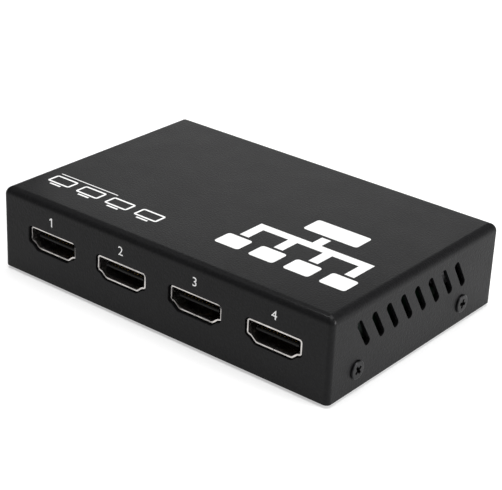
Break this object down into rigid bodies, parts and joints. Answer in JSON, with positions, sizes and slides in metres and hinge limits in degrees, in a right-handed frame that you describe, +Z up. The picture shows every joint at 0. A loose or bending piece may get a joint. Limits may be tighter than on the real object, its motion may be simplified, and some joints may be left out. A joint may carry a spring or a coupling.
{
  "type": "hdmi splitter",
  "caption": "Low black metal box with a row of video output sockets in front, an input and power socket behind, slanted side vents and rubber feet.",
  "frame": {"origin": "middle of the bounding box at the plane that the feet stand on", "axes": "+X right along the row of outputs, -Y out of the output sockets, +Z up"},
  "size_m": [0.098, 0.066, 0.0214],
  "materials": {
    "black_coat": "fine-textured matt black powder coat",
    "black_screw": "black zinc, semi-gloss",
    "foot_rubber": "matt",
    "zinc_steel": "bright zinc",
    "standoff_brass": "machined",
    "board_laminate": "green solder mask",
    "shell_nickel": "nickel plated, satin",
    "black_moulding": "moulded, slightly glossy",
    "contact_gold": "gold flash",
    "lamp_resin": "clear coloured resin",
    "chip_epoxy": "moulded epoxy",
    "tinned_lead": "tin plated",
    "pad_grey": "soft thermal pad",
    "heatsink_alloy": "black anodised",
    "can_alloy": "bright drawn",
    "ferrite": "moulded iron powder",
    "chip_ceramic": "fired ceramic with tinned ends"
  },
  "bodies": {
    "case": {"cover": "black_coat", "base_plate": "black_coat", "cover_screws": "black_screw", "feet": "foot_rubber", "board_standoffs": "standoff_brass", "circuit_board": "board_laminate", "board_screws": "zinc_steel", "output_1_shell": "shell_nickel", "output_1_insulator": "black_moulding", "output_1_contacts": "contact_gold", "output_2_shell": "shell_nickel", "output_2_insulator": "black_moulding", "output_2_contacts": "contact_gold", "output_3_shell": "shell_nickel", "output_3_insulator": "black_moulding", "output_3_contacts": "contact_gold", "output_4_shell": "shell_nickel", "output_4_insulator": "black_moulding", "output_4_contacts": "contact_gold", "input_shell": "shell_nickel", "input_insulator": "black_moulding", "input_contacts": "contact_gold", "power_socket_body": "black_moulding", "power_socket_pin": "shell_nickel", "power_socket_spring": "tinned_lead", "switch_frame": "zinc_steel", "switch_base": "black_moulding", "switch_terminals": "tinned_lead", "power_lamp": "lamp_resin", "power_lamp_leads": "tinned_lead", "splitter_chip": "chip_epoxy", "splitter_chip_leads": "tinned_lead", "thermal_pad": "pad_grey", "heatsink": "heatsink_alloy", "input_chip": "chip_epoxy", "memory_chips": "chip_epoxy", "regulators": "chip_epoxy", "small_chip_leads": "tinned_lead", "crystal": "zinc_steel", "power_inductor": "ferrite", "capacitor_bases": "black_moulding", "capacitor_cans": "can_alloy", "surge_arrays": "chip_epoxy", "chip_resistors": "chip_epoxy", "chip_capacitors": "chip_ceramic"},
    "slider": {"switch_slider": "black_moulding", "switch_bridge": "contact_gold"}
  },
  "joints": [
    {"name": "power_switch_slide", "type": "slide", "parent": "case", "child": "slider", "axis": [1, 0, 0], "range_m": [0, 0.002]}
  ]
}
